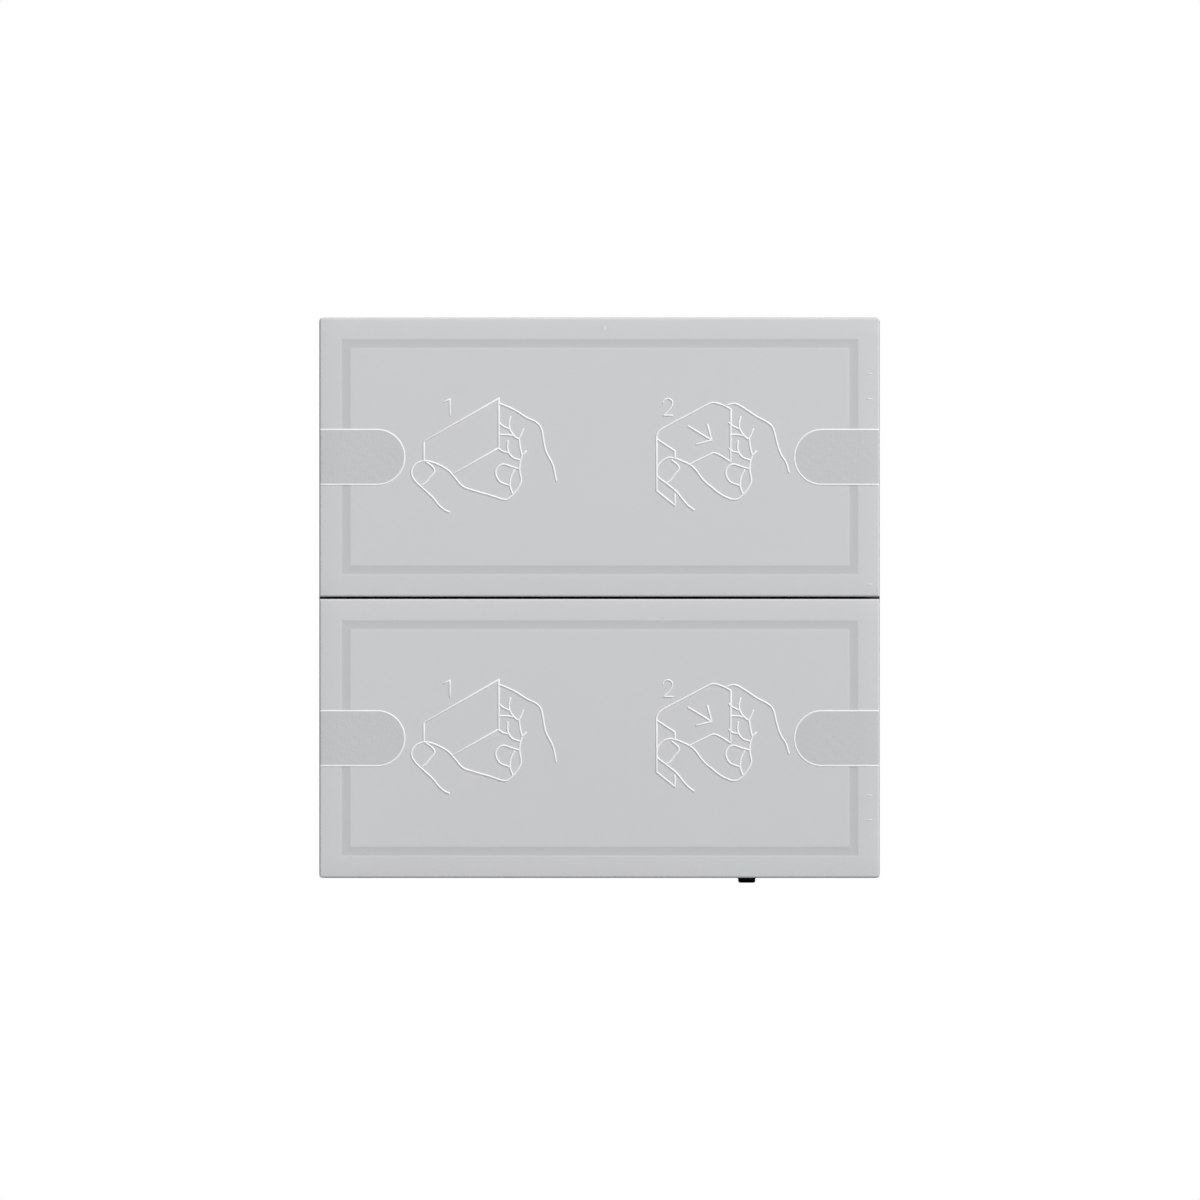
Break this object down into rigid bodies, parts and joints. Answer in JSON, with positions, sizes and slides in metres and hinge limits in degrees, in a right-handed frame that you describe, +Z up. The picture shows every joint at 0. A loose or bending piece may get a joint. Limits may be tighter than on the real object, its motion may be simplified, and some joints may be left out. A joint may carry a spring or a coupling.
{
  "type": "rocker wall switch",
  "caption": "Square light-grey push-button insert with wide clip-on rockers stacked one above the other, for a 55 mm modular wall frame.",
  "frame": {"origin": "middle of the bounding box; the seat plane of the flange is 3.95 mm in front of it and the middle of the rockers 0.235 mm above it", "axes": "+X to the right and +Z up as the room sees it, -Y out of the wall towards the room"},
  "size_m": [0.055, 0.0274, 0.0556],
  "materials": {
    "cover": "fine satin moulded, light neutral grey",
    "carrier": "satin black, glass-filled",
    "base": "satin black",
    "housing": "fine eroded charcoal",
    "plunger": "smooth natural acetal",
    "rubber": "matt conductive silicone",
    "steel": "bright nickel-plated",
    "spring": "drawn stainless wire",
    "screw": "zinc-plated",
    "board": "green solder mask",
    "chip": "matt epoxy",
    "inductor": "pressed ferrite",
    "capacitor": "bare can",
    "pin_block": "black nylon",
    "terminal_red": "smooth red",
    "terminal_grey": "smooth dark grey"
  },
  "bodies": {
    "base": {"pivot_pin_upper": "steel", "return_spring_upper_left": "spring", "return_spring_upper_right": "spring", "pivot_pin_lower": "steel", "return_spring_lower_left": "spring", "return_spring_lower_right": "spring", "base_frame": "base", "rear_housing": "housing", "circuit_board": "board", "microcontroller": "chip", "bus_transceiver": "chip", "inductor": "inductor", "storage_capacitor": "capacitor", "pin_header": "pin_block", "bus_pin_positive": "steel", "bus_pin_negative": "steel", "fixing_screw_upper_right": "screw", "fixing_screw_lower_left": "screw", "board_screw_1": "screw", "board_screw_2": "screw", "board_screw_3": "screw", "board_screw_4": "screw"},
    "upper_rocker": {"rocker_carrier_upper": "carrier"},
    "upper_cover": {"rocker_cover_upper": "cover"},
    "plunger_upper_left": {"plunger_upper_left": "plunger", "contact_pill_upper_left": "rubber"},
    "plunger_upper_right": {"plunger_upper_right": "plunger", "contact_pill_upper_right": "rubber"},
    "lower_rocker": {"rocker_carrier_lower": "carrier"},
    "lower_cover": {"rocker_cover_lower": "cover"},
    "plunger_lower_left": {"plunger_lower_left": "plunger", "contact_pill_lower_left": "rubber"},
    "plunger_lower_right": {"plunger_lower_right": "plunger", "contact_pill_lower_right": "rubber"},
    "bus_terminal": {"bus_terminal_red": "terminal_red", "bus_terminal_grey": "terminal_grey"}
  },
  "joints": [
    {"name": "upper_rocker_tilt", "type": "hinge", "parent": "base", "child": "upper_rocker", "pos_m": [0, -0.00875, 0.01405], "axis": [0, 0, 1], "range_deg": [-1.6, 1.6], "stiffness_Nm_per_rad": 0.2},
    {"name": "upper_cover_release", "type": "slide", "parent": "upper_rocker", "child": "upper_cover", "axis": [0, -1, 0], "range_m": [0, 0.012]},
    {"name": "plunger_upper_left_travel", "type": "slide", "parent": "base", "child": "plunger_upper_left", "axis": [0, 1, 0], "range_m": [-0.00045, 0.00045], "deforming": ["return_spring_upper_left"]},
    {"name": "plunger_upper_right_travel", "type": "slide", "parent": "base", "child": "plunger_upper_right", "axis": [0, 1, 0], "range_m": [-0.00045, 0.00045], "deforming": ["return_spring_upper_right"]},
    {"name": "lower_rocker_tilt", "type": "hinge", "parent": "base", "child": "lower_rocker", "pos_m": [0, -0.00875, -0.01358], "axis": [0, 0, 1], "range_deg": [-1.6, 1.6], "stiffness_Nm_per_rad": 0.2},
    {"name": "lower_cover_release", "type": "slide", "parent": "lower_rocker", "child": "lower_cover", "axis": [0, -1, 0], "range_m": [0, 0.012]},
    {"name": "plunger_lower_left_travel", "type": "slide", "parent": "base", "child": "plunger_lower_left", "axis": [0, 1, 0], "range_m": [-0.00045, 0.00045], "deforming": ["return_spring_lower_left"]},
    {"name": "plunger_lower_right_travel", "type": "slide", "parent": "base", "child": "plunger_lower_right", "axis": [0, 1, 0], "range_m": [-0.00045, 0.00045], "deforming": ["return_spring_lower_right"]},
    {"name": "bus_terminal_unplug", "type": "slide", "parent": "base", "child": "bus_terminal", "axis": [0, 1, 0], "range_m": [0, 0.01]}
  ],
  "couplings": [
    {"joint": "plunger_upper_left_travel", "follows": "upper_rocker_tilt", "m_per_rad": -0.0155},
    {"joint": "plunger_upper_right_travel", "follows": "upper_rocker_tilt", "m_per_rad": 0.0155},
    {"joint": "plunger_lower_left_travel", "follows": "lower_rocker_tilt", "m_per_rad": -0.0155},
    {"joint": "plunger_lower_right_travel", "follows": "lower_rocker_tilt", "m_per_rad": 0.0155}
  ]
}
